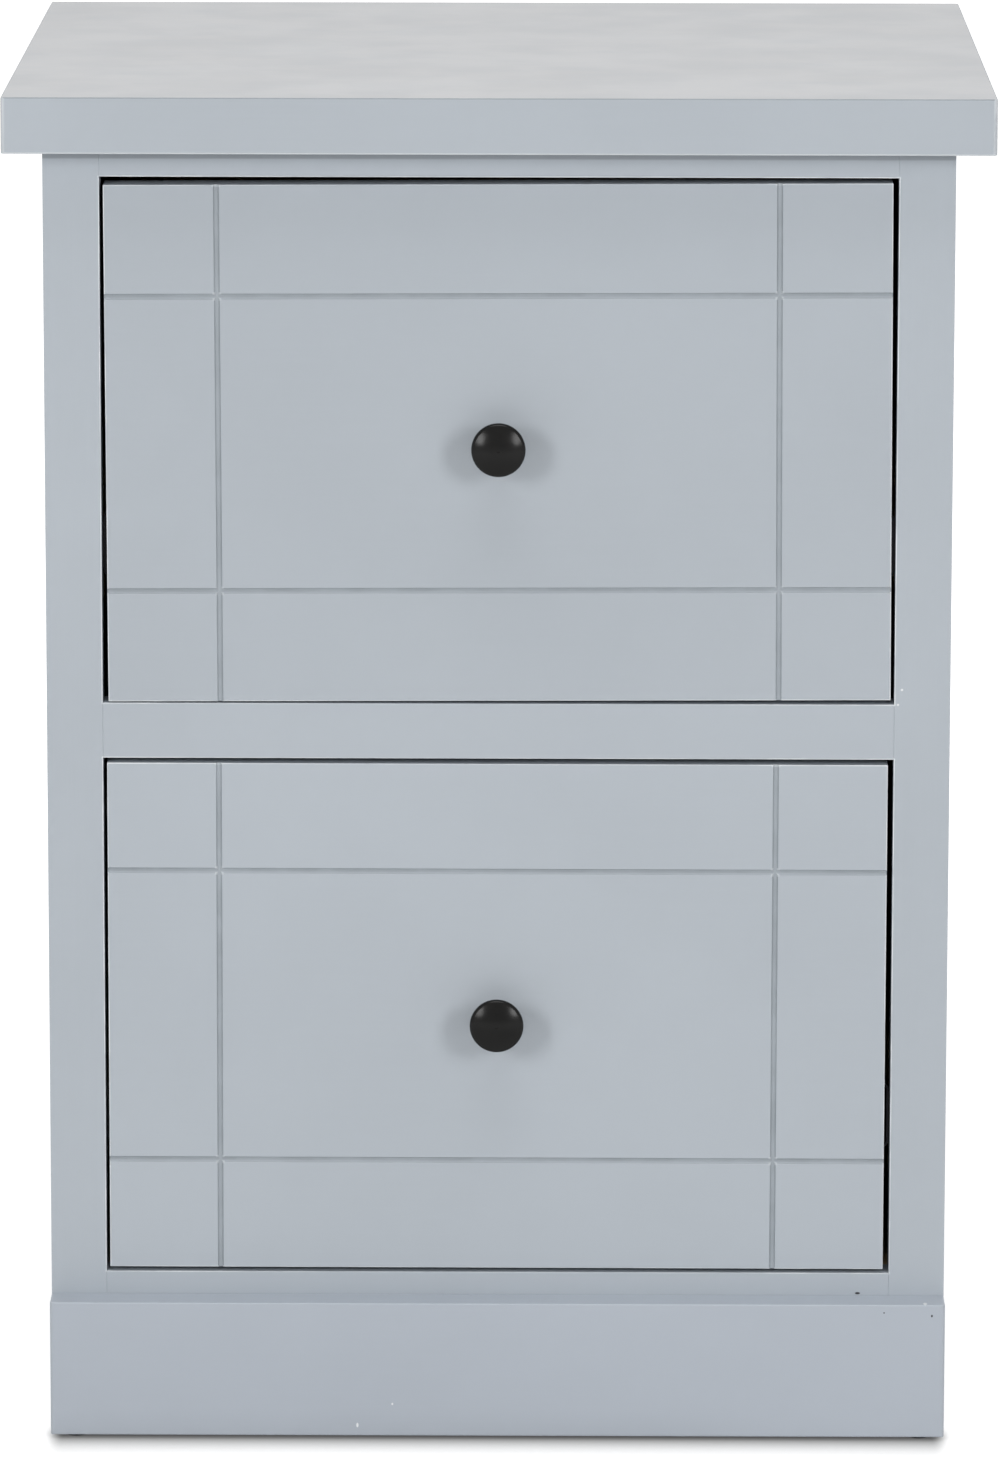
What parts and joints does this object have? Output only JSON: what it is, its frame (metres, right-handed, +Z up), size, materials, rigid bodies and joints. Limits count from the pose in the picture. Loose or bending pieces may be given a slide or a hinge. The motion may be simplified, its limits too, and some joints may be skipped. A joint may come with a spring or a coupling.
{
  "type": "nightstand",
  "caption": "Nightstand with inset drawers on ball-bearing slides, a face frame, a proud plinth board, grooved drawer fronts and round knobs.",
  "frame": {"origin": "on the floor, under the centre of the whole object's box, knobs included", "axes": "+Z up; the drawers face and open towards -Y; +X is to the right when facing the drawers"},
  "size_m": [0.508, 0.462, 0.706],
  "materials": {
    "paint": "satin blue-grey paint over wood",
    "paint_top": "satin blue-grey paint over wood, brushed",
    "birch": "clear-coated birch plywood",
    "drawer_wood": "clear-coated solid birch",
    "drawer_ply": "clear-coated thin plywood",
    "beech": "plain beech dowel",
    "hardboard": "smooth brown hardboard",
    "slide_steel": "black zinc-plated sheet",
    "cage_steel": "plain steel strip with bright balls",
    "zinc": "zinc-plated screws",
    "knob_black": "satin black",
    "glide": "black nylon"
  },
  "bodies": {
    "case": {"top": "paint_top", "left_side": "paint", "right_side": "paint", "back_panel": "hardboard", "bottom_panel": "birch", "front_stretcher": "birch", "rear_stretcher": "birch", "rear_base_rail": "birch", "glue_blocks": "birch", "left_stile": "paint", "right_stile": "paint", "top_rail": "paint", "middle_rail": "paint", "bottom_rail": "paint", "plinth_board": "paint", "frame_dowels": "beech", "floor_glides": "glide", "top_screws": "zinc", "back_screws": "zinc", "lower_left_packer": "birch", "lower_right_packer": "birch", "upper_left_packer": "birch", "upper_right_packer": "birch", "packer_screws": "zinc", "lower_left_outer_slide": "slide_steel", "lower_right_outer_slide": "slide_steel", "upper_left_outer_slide": "slide_steel", "upper_right_outer_slide": "slide_steel", "outer_slide_screws": "zinc"},
    "lower_drawer": {"lower_drawer_front": "paint", "lower_box_front": "drawer_wood", "lower_box_left": "drawer_wood", "lower_box_right": "drawer_wood", "lower_box_back": "drawer_wood", "lower_box_floor": "drawer_ply", "lower_left_inner_slide": "slide_steel", "lower_right_inner_slide": "slide_steel", "lower_slide_screws": "zinc", "lower_front_screws": "zinc", "lower_knob": "knob_black", "lower_knob_screw": "zinc"},
    "upper_drawer": {"upper_drawer_front": "paint", "upper_box_front": "drawer_wood", "upper_box_left": "drawer_wood", "upper_box_right": "drawer_wood", "upper_box_back": "drawer_wood", "upper_box_floor": "drawer_ply", "upper_left_inner_slide": "slide_steel", "upper_right_inner_slide": "slide_steel", "upper_slide_screws": "zinc", "upper_front_screws": "zinc", "upper_knob": "knob_black", "upper_knob_screw": "zinc"},
    "lower_cages": {"lower_left_ball_cage": "cage_steel", "lower_right_ball_cage": "cage_steel"},
    "upper_cages": {"upper_left_ball_cage": "cage_steel", "upper_right_ball_cage": "cage_steel"}
  },
  "joints": [
    {"name": "lower_drawer_slide", "type": "slide", "parent": "case", "child": "lower_drawer", "axis": [0, -1, 0], "range_m": [0, 0.26]},
    {"name": "upper_drawer_slide", "type": "slide", "parent": "case", "child": "upper_drawer", "axis": [0, -1, 0], "range_m": [0, 0.26]},
    {"name": "lower_cage_slide", "type": "slide", "parent": "case", "child": "lower_cages", "axis": [0, -1, 0], "range_m": [0, 0.13]},
    {"name": "upper_cage_slide", "type": "slide", "parent": "case", "child": "upper_cages", "axis": [0, -1, 0], "range_m": [0, 0.13]}
  ],
  "couplings": [
    {"joint": "lower_cage_slide", "follows": "lower_drawer_slide", "ratio": 0.5},
    {"joint": "upper_cage_slide", "follows": "upper_drawer_slide", "ratio": 0.5}
  ]
}
